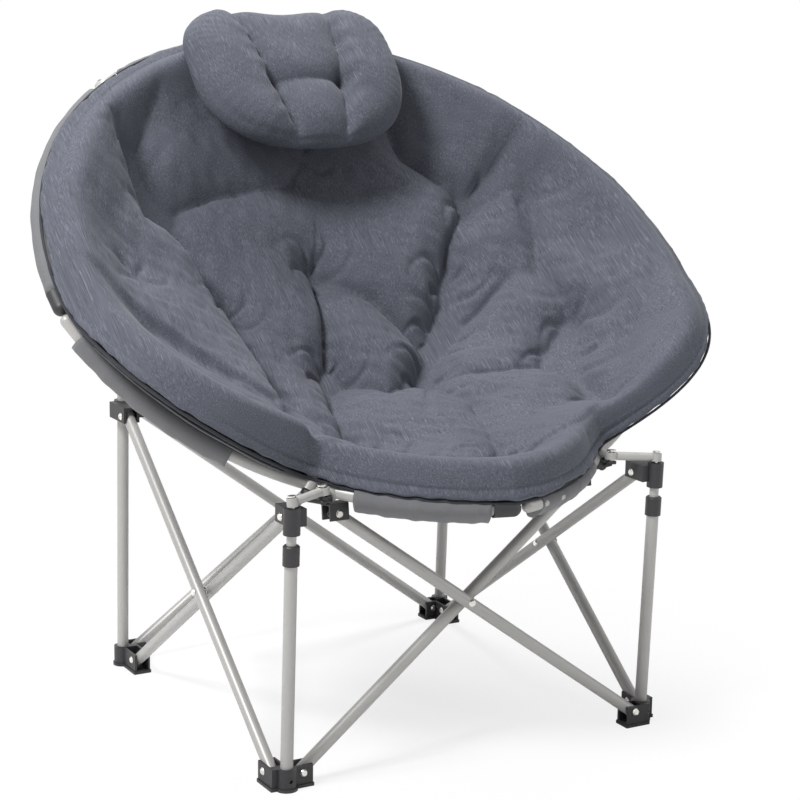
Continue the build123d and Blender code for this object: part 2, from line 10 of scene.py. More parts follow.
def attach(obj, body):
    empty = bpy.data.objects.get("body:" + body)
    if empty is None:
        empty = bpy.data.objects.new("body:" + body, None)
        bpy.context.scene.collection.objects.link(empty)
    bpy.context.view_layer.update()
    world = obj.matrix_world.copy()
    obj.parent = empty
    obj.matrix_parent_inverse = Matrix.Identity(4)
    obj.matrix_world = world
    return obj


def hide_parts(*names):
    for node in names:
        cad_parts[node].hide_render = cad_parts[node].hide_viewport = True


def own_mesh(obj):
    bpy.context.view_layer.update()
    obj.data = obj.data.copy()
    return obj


bl_info = {
    "name": "Folding Saucer Chair",
    "version": (1, 0, 0),
    "blender": (4, 5, 0),
    "location": "3D View > Sidebar > Saucer Chair",
    "description": "Dresses the folding saucer chair: padded seat, pillow, sleeves and finishes",
    "category": "Add Mesh",
}

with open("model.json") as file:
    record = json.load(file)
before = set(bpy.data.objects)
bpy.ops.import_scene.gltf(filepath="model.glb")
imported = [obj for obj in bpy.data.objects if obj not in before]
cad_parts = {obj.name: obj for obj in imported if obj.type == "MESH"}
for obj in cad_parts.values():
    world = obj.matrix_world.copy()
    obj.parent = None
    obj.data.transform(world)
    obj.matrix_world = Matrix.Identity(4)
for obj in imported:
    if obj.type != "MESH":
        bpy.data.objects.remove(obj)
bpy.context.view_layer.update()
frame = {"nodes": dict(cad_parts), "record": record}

# The hoop, in metres, as the frame has it. UP runs up its slope and OUT stands square to it.
TILT = math.radians(37.15)
CENTRE = np.array([0.0, -0.0325, 0.5873])
UP = np.array([0.0, math.cos(TILT), math.sin(TILT)])
OUT = np.array([0.0, -math.sin(TILT), math.cos(TILT)])
HALF_WIDTH = 0.4625
HALF_LENGTH = 0.4848
LOWER_TOP = np.array([-0.4619, -0.0631, 0.5641])
LOWER_FOOT = np.array([-0.2162, -0.2238, 0.3705])
FRONT_FOOT = np.array([-0.1881, -0.2436, 0.3614])
FRONT_HINGE = np.array([-0.006, -0.3593, 0.3468])
SIDE_HINGE_DEG = -3.0
POST_HINGE_DEG = 54.9
KNUCKLE_DEG = 1.7  # each knuckle either side of the post hinge
TOP_END_DEG = 88.5
LOWER_BOW = np.array([-0.0186, -0.0020, -0.0219])
FRONT_BOW = np.array([-0.0100, -0.0154, -0.0033])
PAD_OVERHANG = np.array([-0.030, -0.066, 0.026])  # of the cushion's edge past the lower tube
BOWL_DEPTH = 0.172
RIM_SEAT = 0.0105  # where the cushion's edge rests, above the hoop's centre line

SHELL_THICKNESS = 0.0022
PIPING_RADIUS = 0.0020
PIPING_STAND_OFF = 0.0008

# The pillow, in metres: half its width, its reach above and below its middle, and the
# cross seam of its middle panel, up from the middle
PILLOW_HALF_WIDTH = 0.162
PILLOW_ABOVE = 0.098
PILLOW_BELOW = 0.128
PANEL_SEAM = -0.030
PILLOW_SEAT = 0.372  # of its middle, up the slope from the hoop's centre
PILLOW_LIFT = 0.036  # of its middle, out of the hoop plane
PILLOW_LEAN = math.radians(14)

# The camera that was fitted to the photograph, which is square
YAW, PITCH, ROLL = 0.50809, 0.20735, 0.01168
CAMERA_DISTANCE = 2.769
CAMERA_AIM = (0, -0.008, 0.4)
IMAGE_SIDE = 800
FOCAL_PIXELS = 2041.42
PRINCIPAL_PIXELS = (377.34, 411.19)
SENSOR = 36

# Floor and light
FLOOR_RADIUS = 12
FLOOR_DROP = 0.0002  # below the feet, so that the two don't share a plane
FADE_AT_MIDDLE = 0.62  # share of pure white that the camera sees
FADE_PER_METRE = 0.55
SOFT_LIGHT = 0.28
LIGHT_AIM = (0, 0, 0.5)

X_AXIS = np.array([1.0, 0, 0])
WHITE = (1, 1, 1, 1)
MIRROR = np.array([-1, 1, 1])


# Plain geometry ---------------------------------------------------------------------------


def plane_point(x, v, w):
    """World point from hoop-plane coordinates: across, up the slope, out of the plane."""
    x, v, w = np.broadcast_arrays(x, v, w)
    return CENTRE + x[..., None] * X_AXIS + v[..., None] * UP + w[..., None] * OUT


def bowed(a, b, bow, steps):
    """Points of a gentle arc from a to b that passes its midpoint moved by bow."""
    t = np.linspace(0, 1, steps)[:, None]
    mid = (a + b) / 2 + bow
    return (1 - t) ** 2 * a + 2 * t * (1 - t) * (2 * mid - (a + b) / 2) + t * t * b


def hoop_arc(low, high, steps):
    """Points of the left half of the hoop, in degrees up from its widest point."""
    turn = np.radians(np.linspace(low, high, steps))
    return plane_point(-HALF_WIDTH * np.cos(turn), HALF_LENGTH * np.sin(turn), 0 * turn)


def left_paths():
    """Centre lines of the left-hand hoop tubes, from the top to the front."""
    return {
        "top": hoop_arc(TOP_END_DEG, POST_HINGE_DEG + KNUCKLE_DEG, 20),
        "upper": hoop_arc(POST_HINGE_DEG - KNUCKLE_DEG, SIDE_HINGE_DEG, 30),
        "lower": bowed(LOWER_TOP, LOWER_FOOT, LOWER_BOW, 26),
        "front": bowed(FRONT_FOOT, FRONT_HINGE, FRONT_BOW, 16),
    }


PATHS = left_paths()


def rim_table(lower):
    """The closed hoop as angle about the centre and plane coordinates."""
    half = np.vstack([PATHS["top"], PATHS["upper"], lower[1:], PATHS["front"][1:]])
    both = np.vstack([half, (half * MIRROR)[::-1][1:]])
    q = both - CENTRE
    table = np.stack([q[:, 0], q @ UP, q @ OUT], -1)
    angle = np.arctan2(table[:, 0], table[:, 1])
    order = np.argsort(angle)
    return angle[order], table[order]


def pad_lower():
    """The cushion's edge is rounder than the lower tube it sits on."""
    tube = PATHS["lower"]
    share = np.linspace(0, 1, len(tube))[:, None]
    return tube + (4 * share * (1 - share)) ** 1.3 * PAD_OVERHANG


PAD_RIM = rim_table(pad_lower())


def rim(angle, table=PAD_RIM):
    """Hoop-plane coordinates of the rim in the given directions from the centre."""
    angle = (angle + np.pi) % (2 * np.pi) - np.pi
    columns = [np.interp(angle, table[0], table[1][:, i], period=2 * np.pi) for i in range(3)]
    return np.stack(columns, -1)


def rim_rays(angle):
    """Rim of the cushion, how far each of its points reaches, and the way there."""
    edge = rim(angle)
    reach = np.hypot(edge[:, 0], edge[:, 1])
    return edge, reach, edge[:, :2] / reach[:, None]


def bowl_level(s):
    """Depth of the shell below the hoop plane at a share s of the way to the rim."""
    knots = np.array([0.0, 0.22, 0.40, 0.53, 0.765, 0.90, 1.0])
    level = np.array([-1.02, -1.0, -0.88, -0.75, -0.42, -0.17, 0.0])
    return np.interp(s, knots, level) * BOWL_DEPTH


def waves(x, y, scale, seed):
    """Smooth repeatable unevenness, about -1 to 1."""
    made = np.random.default_rng(seed)
    total = np.zeros_like(x)
    for _ in range(7):
        turn, phase = made.uniform(0, 2 * np.pi, 2)
        size = scale * made.uniform(0.6, 1.6)
        total += np.sin((x * np.cos(turn) + y * np.sin(turn)) * 2 * np.pi / size + phase)
    return total / 4


def bell(distance, reach):
    """Smooth bump: 1 at no distance, and next to nothing past twice the reach."""
    return np.exp(-((distance / reach) ** 2))


def spike(distance, reach):
    """Sharp bump: 1 at no distance, and about a third of that at the reach."""
    return np.exp(-distance / reach)


def new_mesh(name, points, faces, smooth=True):
    """Object of its own in the scene."""
    mesh = bpy.data.meshes.new(name)
    mesh.from_pydata([tuple(p) for p in points], [], faces)
    mesh.validate()
    piece = bpy.data.objects.new(name, mesh)
    bpy.context.scene.collection.objects.link(piece)
    if smooth:
        mesh.shade_smooth()
    return piece


def ring_grid(rings, caps=(False, False), loop=False):
    """Points and faces of stacked closed rings. In a loop the last meets the first."""
    rows, cols = len(rings), len(rings[0])
    faces = []
    for i in range(rows if loop else rows - 1):
        for j in range(cols):
            k, m = (j + 1) % cols, (i + 1) % rows
            faces.append((i * cols + j, i * cols + k, m * cols + k, m * cols + j))
    if caps[0]:
        faces.append(tuple(range(cols))[::-1])
    if caps[1]:
        faces.append(tuple((rows - 1) * cols + j for j in range(cols)))
    return np.concatenate(rings), faces


def resample(path, count):
    """The same path with evenly spaced points."""
    steps = np.linalg.norm(np.diff(path, axis=0), axis=1)
    run = np.concatenate([[0], np.cumsum(steps)])
    at = np.linspace(0, run[-1], count)
    return np.stack([np.interp(at, run, path[:, i]) for i in range(3)], -1)


def part_of(path, start, end, count):
    """Stretch of a path between two shares of its length."""
    steps = 400
    fine = resample(path, steps)
    low, high = int(start * (steps - 1)), int(end * (steps - 1))
    return resample(fine[low : high + 1], count)


def swept(name, path, profile):
    """Sweep a closed profile of (outward, up) offsets along a path on the hoop."""
    rings = []
    count = len(path)
    for i in range(count):
        along = path[min(i + 1, count - 1)] - path[max(i - 1, 0)]
        along /= np.linalg.norm(along)
        away = path[i] - CENTRE
        away -= along * (away @ along)
        away -= OUT * (away @ OUT) * 0.999  # nearly in the hoop plane
        away /= np.linalg.norm(away)
        up = np.cross(along, away)
        if up @ OUT < 0:
            up = -up
        shape = profile(i / (count - 1))
        rings.append(path[i] + shape[:, :1] * away + shape[:, 1:] * up)
    points, faces = ring_grid(rings, caps=(True, True))
    piece = new_mesh(name, points, faces)
    fix_normals(piece)
    return piece


def gather(piece):
    """Soft pieces ride on the seat body, each with a mesh of its own."""
    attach(piece, "seat")
    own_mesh(piece)


def fix_normals(piece):
    """Turn all faces outward."""
    work = bmesh.new()
    work.from_mesh(piece.data)
    bmesh.ops.recalc_face_normals(work, faces=work.faces)
    work.to_mesh(piece.data)
    work.free()


# Shader expressions -----------------------------------------------------------------------


class Value:
    """A shader socket that takes part in Python expressions."""

    def __init__(self, shading, socket):
        self.shading = shading
        self.socket = socket

    def math(self, operation, *terms):
        settings = {"operation": operation}
        return self.shading.node("ShaderNodeMath", settings, slots=dict(enumerate(terms)))

    def __add__(self, other):
        return self.math("ADD", self, other)

    def __radd__(self, other):
        return self.math("ADD", other, self)

    def __sub__(self, other):
        return self.math("SUBTRACT", self, other)

    def __rsub__(self, other):
        return self.math("SUBTRACT", other, self)

    def __mul__(self, other):
        return self.math("MULTIPLY", self, other)

    def __rmul__(self, other):
        return self.math("MULTIPLY", other, self)

    def larger(self, other):
        return self.math("MAXIMUM", self, other)

    def clamp(self):
        return self.shading.node("ShaderNodeClamp", slots={0: self})


def spaced(values):
    """Socket names from keywords, where an underscore stands for a space."""
    return {key.replace("_", " "): value for key, value in values.items()}


class Shading:
    """A node tree under construction."""

    def __init__(self, tree):
        self.tree = tree

    def node(self, kind, settings=None, output=0, slots=None, **values):
        """Add a node: its settings first, then its sockets by number or by name."""
        made = self.tree.nodes.new(kind)
        for key, value in (settings or {}).items():
            setattr(made, key, value)
        self.fill(made, {**(slots or {}), **spaced(values)})
        return Value(self, made.outputs[output])

    def fill(self, node, values):
        """Link values to a node's sockets, or set the sockets themselves."""
        for key, value in values.items():
            if isinstance(value, Value):
                self.tree.links.new(value.socket, node.inputs[key])
            else:
                node.inputs[key].default_value = value


class Finish(Shading):
    """A material under construction."""

    def __init__(self, name):
        self.material = bpy.data.materials.new(name)
        self.material.use_nodes = True
        super().__init__(self.material.node_tree)
        self.shader = self.tree.nodes["Principled BSDF"]

    def place(self, stretch=(1, 1, 1), turn=(0, 0, 0)):
        """Object coordinates, turned and stretched."""
        where = self.node("ShaderNodeTexCoord", output="Object")
        turned = self.node(
            "ShaderNodeMapping", {"vector_type": "POINT"}, Vector=where, Rotation=turn
        )
        return self.node("ShaderNodeMapping", Vector=turned, Scale=stretch)

    def noise(self, where, scale, detail=2.0, rough=0.5):
        """Value noise, 0 to 1."""
        return self.node(
            "ShaderNodeTexNoise", Vector=where, Scale=scale, Detail=detail, Roughness=rough
        )

    def mix(self, factor, first, second):
        """Blend of two colours."""
        colours = {0: factor, 6: first, 7: second}
        return self.node("ShaderNodeMix", {"data_type": "RGBA"}, output=2, slots=colours)

    def bump(self, height, strength, distance):
        return self.node("ShaderNodeBump", Height=height, Strength=strength, Distance=distance)

    def set(self, **values):
        """Set or link the surface's own sockets."""
        self.fill(self.shader, spaced(values))
        return self.material


def shade(colour, amount):
    """Colour made lighter or darker, with full alpha."""
    return tuple(c * amount for c in colour[:3]) + (1.0,)


def slub_cloth(colour):
    """Heathered weave with light and dark slubs that run up the slope."""
    look = Finish("slub cloth")
    lay = (-TILT, 0, 0)
    fine = look.noise(look.place((1300, 60, 1300), lay), 1.0, 2.0, 0.6)
    slub = look.noise(look.place((760, 11, 760), lay), 1.0, 2.0, 0.6)
    patch = look.noise(look.place((14, 9, 14), lay), 1.0, 2.0)
    cross = look.noise(look.place((60, 1400, 900), lay), 1.0, 1.0)
    light = (slub * 7.0 - 3.95 + (fine - 0.5) * 2.4).clamp()
    dark = (2.75 - slub * 6.2 + (0.5 - fine) * 2.4).clamp()
    base = look.mix(patch, shade(colour, 0.90), shade(colour, 1.10))
    lit = look.mix(light * 0.62, base, shade(colour, 2.1))
    worn = look.mix(dark * 0.72, lit, shade(colour, 0.42))
    weave = fine * 0.6 + cross * 0.4 + slub * 0.5
    normal = look.bump(weave, 0.35, 0.0006)
    look.set(Sheen_Weight=0.08, Sheen_Roughness=0.35, Specular_IOR_Level=0.25)
    return look.set(Base_Color=worn, Roughness=fine * 0.12 + 0.78, Normal=normal)


def plain_cloth(name, colour):
    """Plain close weave."""
    look = Finish(name)
    where = look.place()
    warp = look.noise(look.place((1700, 300, 300)), 1.0, 1.0)
    weft = look.noise(look.place((300, 1700, 1700)), 1.0, 1.0)
    patch = look.noise(where, 18.0, 3.0)
    tone = look.mix(patch, shade(colour, 0.88), shade(colour, 1.12))
    grain = look.mix((warp * weft * 3.2 - 0.4).clamp() * 0.5, tone, shade(colour, 0.7))
    normal = look.bump(warp + weft, 0.3, 0.0004)
    look.set(Sheen_Weight=0.12, Specular_IOR_Level=0.25)
    return look.set(Base_Color=grain, Roughness=warp * 0.1 + 0.78, Normal=normal)


def powder_coat(colour):
    """Satin powder coat with a faint orange peel."""
    look = Finish("powder coat")
    where = look.place()
    peel = look.noise(where, 900.0, 2.0)
    drift = look.noise(where, 22.0, 3.0)
    tone = look.mix(drift, shade(colour, 0.95), shade(colour, 1.05))
    normal = look.bump(peel, 0.16, 0.0003)
    return look.set(
        Base_Color=tone, Metallic=0.15, Roughness=drift * 0.10 + 0.36, Normal=normal
    )


def moulded_plastic(colour):
    """Charcoal nylon with a spark-eroded grain."""
    look = Finish("moulded plastic")
    where = look.place()
    grain = look.noise(where, 1600.0, 2.0)
    rub = look.noise(where, 60.0, 4.0)
    tone = look.mix((rub * 3 - 1.3).clamp() * 0.5, shade(colour, 1.0), shade(colour, 1.7))
    normal = look.bump(grain, 0.25, 0.0003)
    return look.set(Base_Color=tone, Roughness=rub * 0.2 + 0.40, Normal=normal)


def bright_steel(colour):
    """Nickel-plated rivet steel."""
    look = Finish("rivet steel")
    where = look.place()
    brushed = look.noise(where, 1200.0, 2.0)
    tone = look.mix(brushed, shade(colour, 0.9), shade(colour, 1.05))
    normal = look.bump(brushed, 0.08, 0.0002)
    return look.set(Base_Color=tone, Metallic=1.0, Roughness=brushed * 0.12 + 0.22, Normal=normal)


# What a user would change -----------------------------------------------------------------


class SaucerSizes(bpy.types.PropertyGroup):
    """Sizes of the soft pieces"""

    pad: bpy.props.FloatProperty(
        name="Padding", description="Loft of the seat cushion", default=0.060, unit="LENGTH"
    )
    tuft: bpy.props.FloatProperty(
        name="Tuft depth", description="How far each tuft pulls in", default=0.028, unit="LENGTH"
    )
    edge: bpy.props.FloatProperty(
        name="Edge roll", description="Height of the padded edge", default=0.030, unit="LENGTH"
    )
    sleeve: bpy.props.FloatProperty(
        name="Sleeve", description="Radius of the cloth round the hoop", default=0.0112,
        unit="LENGTH",
    )


class SaucerColours(bpy.types.PropertyGroup):
    """Colours of cloth, frame and fittings"""

    cloth: bpy.props.FloatVectorProperty(
        name="Seat cloth", description="Heathered seat cloth", default=(0.085, 0.091, 0.113),
        subtype="COLOR", size=3,
    )
    band: bpy.props.FloatVectorProperty(
        name="Band cloth", description="Plain cloth of shell and sleeves",
        default=(0.150, 0.152, 0.160), subtype="COLOR", size=3,
    )
    tube: bpy.props.FloatVectorProperty(
        name="Frame coat", description="Powder coat of the tubes", default=(0.375, 0.370, 0.358),
        subtype="COLOR", size=3,
    )
    plastic: bpy.props.FloatVectorProperty(
        name="Plastic", description="Feet, forks and brackets", default=(0.018, 0.018, 0.020),
        subtype="COLOR", size=3,
    )
    rivet: bpy.props.FloatVectorProperty(
        name="Rivets", description="Plated rivets", default=(0.72, 0.70, 0.66),
        subtype="COLOR", size=3,
    )


# Padding ----------------------------------------------------------------------------------

# Tufts of the seat: across and up the slope in metres, and strength
TUFTS = (
    (-0.256, 0.207, 1.0), (-0.288, 0.298, 0.7), (0.246, 0.207, 0.8), (0.179, 0.095, 1.1),
    (-0.010, 0.149, 0.9), (-0.057, -0.037, 0.9), (0.081, -0.066, 0.8), (0.141, 0.017, 1.1),
    (0.308, -0.049, 0.8), (0.267, -0.102, 1.2), (0.254, -0.225, 0.9), (-0.103, -0.212, 1.0),
    (-0.060, -0.247, 0.7), (0.060, -0.285, 0.7), (0.330, 0.190, 0.7), (0.010, 0.300, 0.5),
    (-0.330, 0.060, 0.6), (-0.180, 0.060, 0.6),
)
# Creases: points along each, depth, width, and how much higher its left side stands
CREASES = (
    (((-0.29, 0.31), (-0.256, 0.207), (-0.215, 0.13), (-0.190, 0.03), (-0.188, -0.09),
      (-0.205, -0.19), (-0.215, -0.27)), 0.014, 0.020, 0.030),
    (((-0.40, 0.02), (-0.31, -0.06), (-0.22, -0.16), (-0.20, -0.24)), 0.005, 0.018, -0.010),
    (((-0.256, 0.207), (-0.14, 0.25), (-0.02, 0.27)), 0.012, 0.022, 0.0),
    (((-0.010, 0.149), (-0.035, 0.05), (-0.057, -0.037), (-0.09, -0.12), (-0.103, -0.212)),
     0.015, 0.020, 0.006),
    (((-0.010, 0.149), (0.06, 0.08), (0.11, -0.01), (0.081, -0.066)), 0.015, 0.018, -0.006),
    (((0.246, 0.207), (0.20, 0.15), (0.179, 0.095), (0.141, 0.017), (0.081, -0.066)),
     0.016, 0.018, 0.008),
    (((0.246, 0.207), (0.30, 0.24), (0.34, 0.27)), 0.012, 0.016, 0.0),
    (((0.141, 0.017), (0.20, 0.03), (0.25, 0.06)), 0.010, 0.018, 0.0),
    (((0.308, -0.049), (0.30, 0.06), (0.330, 0.190)), 0.012, 0.022, 0.006),
    (((0.308, -0.049), (0.267, -0.102), (0.254, -0.225)), 0.016, 0.018, -0.012),
    (((0.254, -0.225), (0.33, -0.13), (0.40, -0.05)), 0.010, 0.016, 0.006),
    (((0.254, -0.225), (0.17, -0.275), (0.06, -0.300), (-0.06, -0.285), (-0.17, -0.262)),
     0.011, 0.018, 0.008),
    (((-0.057, -0.037), (0.01, -0.09), (0.081, -0.066)), 0.009, 0.018, 0.0),
    (((0.246, 0.207), (0.17, 0.29), (0.15, 0.37)), 0.012, 0.020, 0.0),
    (((-0.256, 0.207), (-0.25, 0.30), (-0.20, 0.38)), 0.010, 0.022, 0.0),
    (((-0.103, -0.212), (-0.14, -0.14), (-0.17, -0.02)), 0.008, 0.020, 0.0),
    (((0.081, -0.066), (0.10, -0.15), (0.06, -0.285)), 0.008, 0.022, 0.0),
    (((0.081, -0.066), (0.17, -0.10), (0.267, -0.102)), 0.008, 0.020, 0.0),
)
# How far the marks of tufts and creases reach, and how deep the folds round a tuft are
DIMPLE_REACH = 0.052
PIT_REACH = 0.011
STAR_REACH = 0.042
STAR_DEPTH = 0.013
LIP_REACH = 0.055


def quilting(x, v, depth):
    """How far tufts and creases push the cushion's face out of the smooth bowl."""
    change = np.zeros_like(x)
    made = np.random.default_rng(5)
    # Each tuft is a wide dimple with a sharp pit, and folds that run out of it like a star
    for a, b, strength in TUFTS:
        across, along = x - a, v - b
        d = np.hypot(across, along)
        arms = made.integers(4, 7)
        turn = np.arctan2(along, across) * arms + made.uniform(0, 6.28)
        ray = np.clip(np.cos(turn + 2.5 * np.sin(d * 60)), 0, 1) ** 3
        star = ray * bell(d, STAR_REACH)
        pit = 0.68 * bell(d, DIMPLE_REACH) + 0.42 * spike(d, PIT_REACH)
        change -= strength * (depth * pit + STAR_DEPTH * star * (1 - spike(d, 0.012)))
    # Each crease fades at its ends, and may have one side that stands higher
    for points, low, width, step in CREASES:
        points = np.array(points)
        best = np.full_like(x, 9.0)
        side = np.zeros_like(x)
        ends = np.ones_like(x)
        for k in range(len(points) - 1):
            a, run = points[k], points[k + 1] - points[k]
            t = ((x - a[0]) * run[0] + (v - a[1]) * run[1]) / (run @ run)
            inside = np.clip(t, 0, 1)
            du, dv = x - a[0] - inside * run[0], v - a[1] - inside * run[1]
            d = np.hypot(du, dv)
            near = d < best
            best = np.where(near, d, best)
            side = np.where(near, np.sign(run[0] * dv - run[1] * du), side)
            whole = (k + inside) / (len(points) - 1)
            taper = np.sin(np.pi * np.clip(0.12 + 0.76 * whole, 0, 1)) ** 0.5
            ends = np.where(near, taper, ends)
        wobble = 1 + 0.12 * waves(x, v, 0.11, 3)
        section = 0.55 * spike(best, 0.36 * width) + 0.45 * bell(best, 1.5 * width)
        change -= 2.2 * low * ends * wobble * section
        lip = spike(best, LIP_REACH) * (1 - bell(best, 0.006))
        change -= side * step * ends * lip
    return change


def seat_surface(sizes, around, rings):
    """Points of the cushion: underside from the middle out, round the edge, top back in."""
    angle = np.linspace(-np.pi, np.pi, around, endpoint=False)
    edge, reach, unit = rim_rays(angle)

    def ring(inset, height, s):
        flat = unit * (reach * s - inset)[:, None]
        return plane_point(flat[:, 0], flat[:, 1], height + edge[:, 2] * min(1, s) ** 2)

    under = []
    for s in np.linspace(0.03, 0.93, 14):
        under.append(ring(0.012 * s, bowl_level(s) + 0.006, s))
    under += [ring(0.014, 0.004, 1), ring(0.009, 0.0095, 1)]
    top = []
    # The padded edge is fuller low down than along the back
    low = 0.5 - 0.5 * np.cos(angle)
    roll = sizes.edge * (0.42 + 0.58 * low)
    face = roll * 0.42
    across, along = edge[:, 0], edge[:, 1]
    pucker = 0.0016 * waves(across, along, 0.022, 6) + 0.003 * waves(across, along, 0.13, 4)
    edge_round = 0.011
    for turn in np.linspace(-70, 90, 10):
        c, k = math.cos(math.radians(turn)), math.sin(math.radians(turn))
        flat = unit * (reach - edge_round + (edge_round + pucker) * c)[:, None]
        height = RIM_SEAT + face / 2 * (1 + k) + edge[:, 2]
        top.append(plane_point(flat[:, 0], flat[:, 1], height))
    # From the edge inward the face climbs a low crest, then blends into the quilted bowl
    for s in np.linspace(0.972, 0.02, rings):
        flat = unit * (reach * s)[:, None]
        x, v = flat[:, 0], flat[:, 1]
        near = np.clip((0.975 - s) / (0.16 + 0.10 * low), 0, 1)
        rise = np.sin(np.minimum(near * 2.4, 1) * math.pi / 2)
        swell = np.sin(np.minimum(near * 1.5, 1) * math.pi)
        crest = RIM_SEAT + face + (roll - face) * rise + 0.009 * swell
        inner = bowl_level(s) + sizes.pad * (1.05 - 0.2 * s) + 0.008 * waves(x, v, 0.20, 11)
        blend = near * near * (3 - 2 * near)
        change = quilting(x, v, sizes.tuft) + 0.0014 * waves(x, v, 0.030, 23)
        height = crest * (1 - blend) + inner * blend + change * (0.15 + 0.85 * blend)
        floor = bowl_level(s) + 0.012 + 0.02 * (1 - blend)
        height = np.maximum(height, floor)
        top.append(plane_point(x, v, height + edge[:, 2] * s**2))
    return under, top


def seat_pad(sizes):
    """The cushion as one closed mesh."""
    under, top = seat_surface(sizes, around=400, rings=130)
    points, faces = ring_grid(under + top, caps=(True, True))
    pad = new_mesh("seat_pad", points, faces)
    fix_normals(pad)
    return pad


class SAUCER_OT_seat_pad(bpy.types.Operator):
    """Build the tufted seat cushion"""

    bl_idname = "saucer.seat_pad"
    bl_label = "Seat cushion"

    def execute(self, context):
        sizes = context.scene.saucer_sizes
        colours = context.scene.saucer_colours
        pad = seat_pad(sizes)
        pad.data.materials.append(slub_cloth(colours.cloth))
        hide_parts("seat_cushion")
        gather(pad)
        return {"FINISHED"}


class SAUCER_OT_piping(bpy.types.Operator):
    """Run the piping round the cushion's edge"""

    bl_idname = "saucer.piping"
    bl_label = "Piping"

    def execute(self, context):
        colours = context.scene.saucer_colours
        angle = np.linspace(-np.pi, np.pi, 300, endpoint=False)
        edge, reach, unit = rim_rays(angle)
        sides = 8
        rings = []
        for turn in np.linspace(0, 2 * np.pi, sides + 1)[:-1]:
            out = PIPING_STAND_OFF + PIPING_RADIUS * math.cos(turn)
            flat = unit * (reach + out)[:, None]
            height = edge[:, 2] + RIM_SEAT + PIPING_RADIUS * math.sin(turn)
            rings.append(plane_point(flat[:, 0], flat[:, 1], height))
        points, faces = ring_grid(rings, loop=True)
        piping = new_mesh("seat_piping", points, faces)
        fix_normals(piping)
        piping.data.materials.append(plain_cloth("piping cloth", shade(colours.cloth, 0.35)))
        gather(piping)
        return {"FINISHED"}


class SAUCER_OT_shell(bpy.types.Operator):
    """Stretch the plain cloth shell under the cushion"""

    bl_idname = "saucer.shell"
    bl_label = "Shell"

    def execute(self, context):
        colours = context.scene.saucer_colours
        angle = np.linspace(-np.pi, np.pi, 240, endpoint=False)
        edge, reach, unit = rim_rays(angle)
        rings = []
        for s in np.linspace(0.02, 0.975, 40):
            flat = unit * (reach * s)[:, None]
            x, v = flat[:, 0], flat[:, 1]
            sag = 0.0016 * waves(x, v, 0.12, 31)
            height = bowl_level(s) - 0.001 + sag + edge[:, 2] * s**2
            rings.append(plane_point(x, v, height))
        points, faces = ring_grid(rings, caps=(True, False))
        shell = new_mesh("seat_back_shell", points, faces)
        fix_normals(shell)
        thick = shell.modifiers.new("thickness", "SOLIDIFY")
        thick.thickness = SHELL_THICKNESS
        thick.offset = 0
        shell.data.materials.append(plain_cloth("shell cloth", colours.band))
        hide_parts("seat_shell")
        gather(shell)
        return {"FINISHED"}


def sleeve_profile(radius, drop, sag):
    """Cloth wrapped round a tube, sagging below it, with its tail drawn in under the seat."""

    def profile(share):
        turns = np.radians(np.linspace(-128, 168, 18))
        ring = np.stack([radius * np.cos(turns), radius * np.sin(turns)], -1)
        ring[:, 1] = np.where(ring[:, 1] < 0, ring[:, 1] * sag, ring[:, 1])
        tail = np.array([[-0.024, -drop + 0.0016], [-0.0245, -drop - 0.0014]])
        pucker = 1 + 0.03 * math.sin(share * 31) + 0.02 * math.sin(share * 57 + 1)
        return np.vstack([ring * pucker, tail])

    return profile


SLEEVES = {
    # tube: (body, first share, last share, drop of the tail, how far the cloth sags)
    "top": ("top_{}_hoop", 0.02, 0.93, 0.012, 1.0),
    "upper": ("upper_{}_hoop", 0.05, 0.93, 0.012, 1.0),
    "lower": ("lower_{}_hoop", 0.08, 0.72, 0.012, 1.9),
    "front": ("front_{}_hoop", 0.12, 0.87, 0.010, 2.1),
}


class SAUCER_OT_sleeves(bpy.types.Operator):
    """Wrap the cloth sleeves round the hoop tubes"""

    bl_idname = "saucer.sleeves"
    bl_label = "Sleeves"

    def execute(self, context):
        sizes = context.scene.saucer_sizes
        colours = context.scene.saucer_colours
        cloth = plain_cloth("sleeve cloth", colours.band)
        for place, (body, first, last, drop, sag) in SLEEVES.items():
            for side in ("left", "right"):
                path = part_of(PATHS[place], first, last, 40)
                if side == "right":
                    path = path * MIRROR
                profile = sleeve_profile(sizes.sleeve, drop, sag)
                sleeve = swept(f"{place}_{side}_sleeve", path, profile)
                sleeve.data.materials.append(cloth)
                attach(sleeve, body.format(side))
        return {"FINISHED"}


# Head pillow ------------------------------------------------------------------------------


def groove(distance, sharp, soft):
    """Section of a stitched seam: a narrow nick in a wide hollow."""
    return 0.6 * spike(np.abs(distance), sharp) + 0.4 * bell(distance, soft)


def pillow_outline(share):
    """Outline in metres (across, up): squarish at the top, round below."""
    turn = share * 2 * np.pi
    c, s = np.cos(turn), np.sin(turn)
    power = np.where(s > 0, 0.50, 0.78)
    x = PILLOW_HALF_WIDTH * np.sign(c) * np.abs(c) ** power
    tall = np.where(s > 0, PILLOW_ABOVE, PILLOW_BELOW)
    y = tall * np.sign(s) * np.abs(s) ** np.where(s > 0, 0.62, 0.86)
    wide = np.abs(x) / PILLOW_HALF_WIDTH
    y = y + 0.016 * np.sin(np.clip(wide, 0, 1) * np.pi * 0.75) ** 2 * (s > 0)
    return x, y


